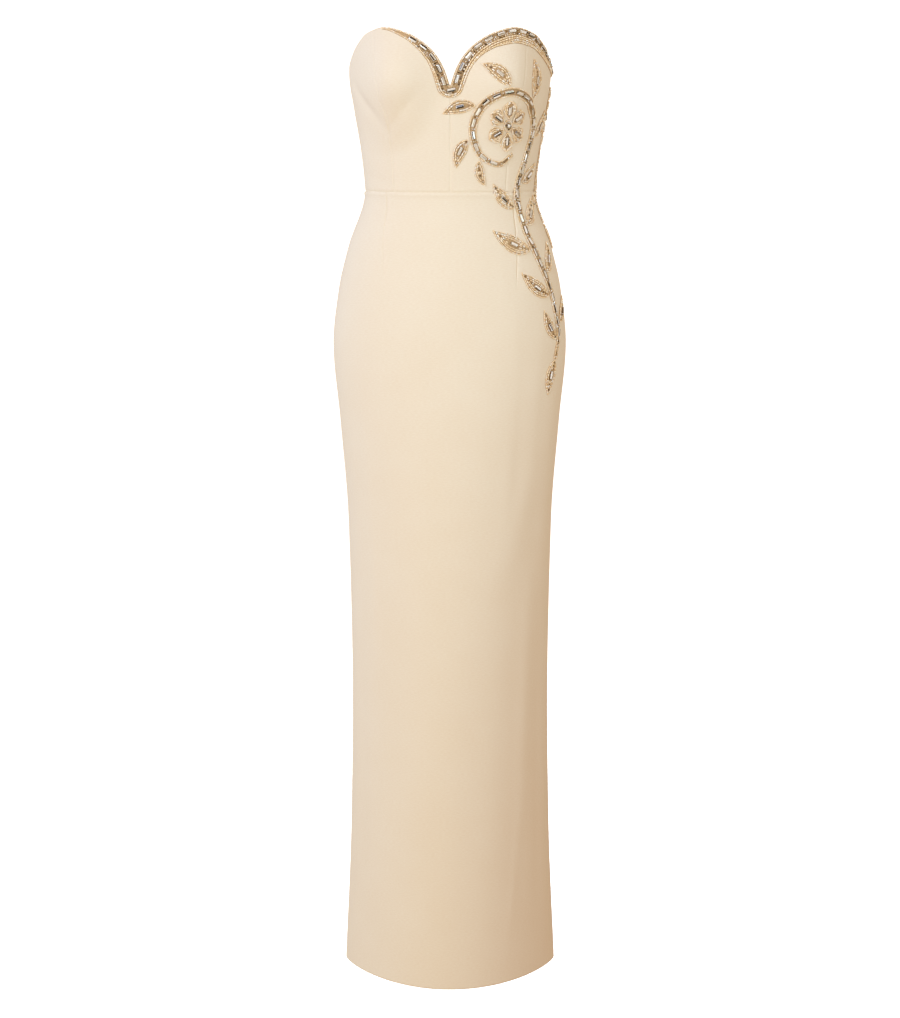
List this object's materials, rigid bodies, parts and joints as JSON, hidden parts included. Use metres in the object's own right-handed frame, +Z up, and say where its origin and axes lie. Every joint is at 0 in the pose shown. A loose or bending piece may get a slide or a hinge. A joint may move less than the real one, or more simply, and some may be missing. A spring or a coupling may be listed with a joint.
{
  "type": "bustier gown",
  "caption": "Strapless cream crepe column gown with a cupped bustier bodice, back zip, walking slit and a beaded spray of leaves down one side.",
  "frame": {"origin": "middle of the hollow at the waist seam, where the wearer holds the gown", "axes": "+Z up along the figure, the front faces -Y, the wearer's left is +X"},
  "size_m": [0.3378, 0.265, 1.3899],
  "materials": {
    "crepe": "matt cream double crepe",
    "beadwork": "gold-lined glass beads and cut crystal, sewn on",
    "zip_tape": "woven tape dyed to match",
    "zip_metal": "enamelled to match the cloth"
  },
  "bodies": {
    "gown": {"bodice_front_centre_right": "crepe", "bodice_front_centre_left": "crepe", "bodice_front_side_right": "crepe", "bodice_front_side_left": "crepe", "bodice_back_right": "crepe", "bodice_back_left": "crepe", "skirt_front": "crepe", "skirt_back_right": "crepe", "skirt_back_left": "crepe", "beaded_neck_band": "beadwork", "beaded_main_stem": "beadwork", "beaded_main_leaf_01": "beadwork", "beaded_main_leaf_02": "beadwork", "beaded_main_leaf_03": "beadwork", "beaded_main_leaf_04": "beadwork", "beaded_main_leaf_05": "beadwork", "beaded_main_leaf_06": "beadwork", "beaded_main_leaf_07": "beadwork", "beaded_main_leaf_08": "beadwork", "beaded_main_leaf_09": "beadwork", "beaded_main_leaf_10": "beadwork", "beaded_main_leaf_11": "beadwork", "beaded_main_leaf_12": "beadwork", "beaded_main_leaf_13": "beadwork", "beaded_main_leaf_14": "beadwork", "beaded_main_leaf_15": "beadwork", "beaded_side_stem": "beadwork", "beaded_side_leaf_01": "beadwork", "beaded_side_leaf_02": "beadwork", "beaded_side_leaf_03": "beadwork", "beaded_side_leaf_04": "beadwork", "beaded_side_leaf_05": "beadwork", "beaded_side_leaf_06": "beadwork", "beaded_blossom_centre": "beadwork", "beaded_petal_1": "beadwork", "beaded_petal_2": "beadwork", "beaded_petal_3": "beadwork", "beaded_petal_4": "beadwork", "beaded_petal_5": "beadwork", "beaded_petal_6": "beadwork", "zip_tape": "zip_tape", "zip_slider": "zip_metal"},
    "zip_pull": {"zip_pull": "zip_metal"}
  },
  "joints": [
    {"name": "zip_pull_swing", "type": "hinge", "parent": "gown", "child": "zip_pull", "pos_m": [0, 0.10174, 0.12774], "axis": [1, 0, 0], "range_deg": [-3, 165]}
  ]
}
